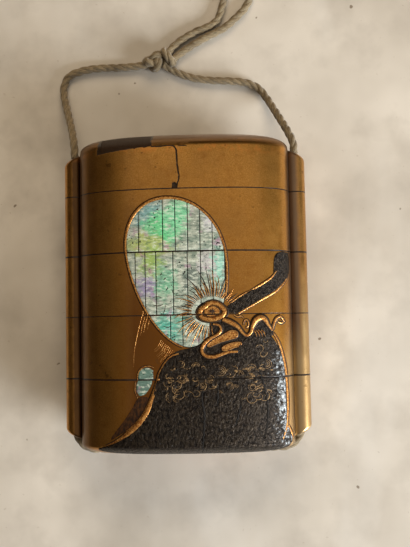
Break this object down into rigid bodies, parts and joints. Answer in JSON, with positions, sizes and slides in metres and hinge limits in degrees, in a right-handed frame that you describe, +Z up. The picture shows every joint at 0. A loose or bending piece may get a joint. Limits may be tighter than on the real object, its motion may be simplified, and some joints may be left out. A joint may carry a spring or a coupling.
{
  "type": "inro case",
  "caption": "Oval stacked lacquer box with a lid, cord runners down its sides, a pearl and lead picture let into the front, and its knotted cord.",
  "frame": {"origin": "centre of the box's underside as it lies on its back, on the table", "axes": "+Y along the box towards the lid, +X across it to the right seen from the front, +Z up out of the front face"},
  "size_m": [0.0784, 0.1544, 0.0232],
  "materials": {
    "gold_lacquer": "worn gold lacquer over thin wood, satin gloss",
    "mother_of_pearl": "polished shell with green and pink lustre, pitted",
    "pitted_lead": "dark pitted sheet metal with worn bright grains",
    "laid_cord": "twisted two-ply cord, olive grey"
  },
  "bodies": {
    "root": {"lid": "gold_lacquer", "upper_case": "gold_lacquer", "second_case": "gold_lacquer", "third_case": "gold_lacquer", "bottom_case": "gold_lacquer", "pearl_head_upper_1": "mother_of_pearl", "pearl_head_upper_2": "mother_of_pearl", "pearl_head_upper_3": "mother_of_pearl", "pearl_head_upper_4": "mother_of_pearl", "pearl_head_upper_5": "mother_of_pearl", "pearl_head_upper_6": "mother_of_pearl", "pearl_head_upper_7": "mother_of_pearl", "pearl_head_second_1": "mother_of_pearl", "pearl_head_second_2": "mother_of_pearl", "pearl_head_second_3": "mother_of_pearl", "pearl_head_second_4": "mother_of_pearl", "pearl_head_second_5": "mother_of_pearl", "pearl_head_second_6": "mother_of_pearl", "pearl_head_second_7": "mother_of_pearl", "pearl_head_second_8": "mother_of_pearl", "pearl_head_third_1": "mother_of_pearl", "pearl_head_third_2": "mother_of_pearl", "pearl_head_third_3": "mother_of_pearl", "pearl_hand_third": "mother_of_pearl", "pearl_hand_bottom": "mother_of_pearl", "robe_third": "pitted_lead", "robe_bottom": "pitted_lead", "cord_held": "laid_cord", "cord_left_run": "laid_cord", "cord_right_run": "laid_cord", "cord_knot": "laid_cord", "cord_upper_strand": "laid_cord", "cord_lower_strand": "laid_cord", "cord_coil": "laid_cord", "cord_end_knot": "laid_cord"}
  },
  "joints": []
}
